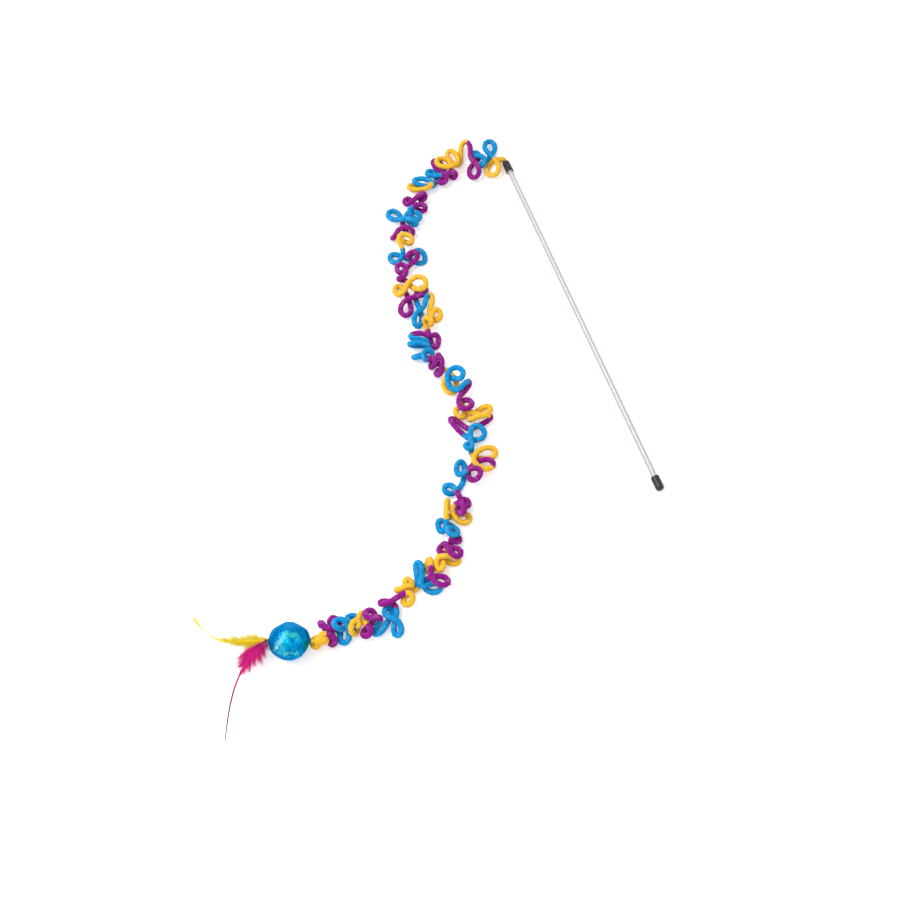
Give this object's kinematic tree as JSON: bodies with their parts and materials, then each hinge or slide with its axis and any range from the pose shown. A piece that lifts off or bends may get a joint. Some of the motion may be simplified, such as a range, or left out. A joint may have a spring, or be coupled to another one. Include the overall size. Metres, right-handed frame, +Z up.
{
  "type": "cat teaser wand",
  "caption": "Clear rod with a soft cap at each end and a curled chenille lure that ends in a foil-skinned ball with feathers.",
  "frame": {"origin": "on the rod's axis at the mouth of the handle cap", "axes": "+Y along the rod from the handle to the tip, +Z up; the wand and the lure lie on a floor 4.6 mm below the axis"},
  "size_m": [0.5061, 0.6033, 0.04],
  "materials": {
    "clear_rod": "clear extruded plastic",
    "black_cap": "soft black vinyl, satin",
    "chenille": "short dense pile, dyed in runs of yellow, blue and purple",
    "yellow_pile": "short dense pile, yellow",
    "foam": "light foam",
    "foil": "iridescent blue and green film, crinkled",
    "thread": "waxed thread",
    "yellow_feather": "dyed feather, yellow",
    "magenta_feather": "dyed feather, magenta"
  },
  "bodies": {
    "wand": {"rod": "clear_rod", "handle_cap": "black_cap", "tip_cap": "black_cap", "strand_anchor": "yellow_pile"},
    "lure": {"chenille_strand": "chenille"},
    "ball": {"ball_core": "foam", "ball_skin": "foil", "ball_tie": "yellow_pile", "feather_binding": "thread", "yellow_quill": "yellow_feather", "yellow_vane": "yellow_feather", "magenta_quill": "magenta_feather", "magenta_vane": "magenta_feather"}
  },
  "joints": [
    {"name": "lure_swing", "type": "hinge", "parent": "wand", "child": "lure", "pos_m": [0, 0.448, 0], "axis": [0, 0, 1], "range_deg": [-150, 15]},
    {"name": "ball_swing", "type": "hinge", "parent": "lure", "child": "ball", "pos_m": [-0.39354, -0.05508, 0.0154], "axis": [0, 0, 1], "range_deg": [-20, 20]}
  ]
}
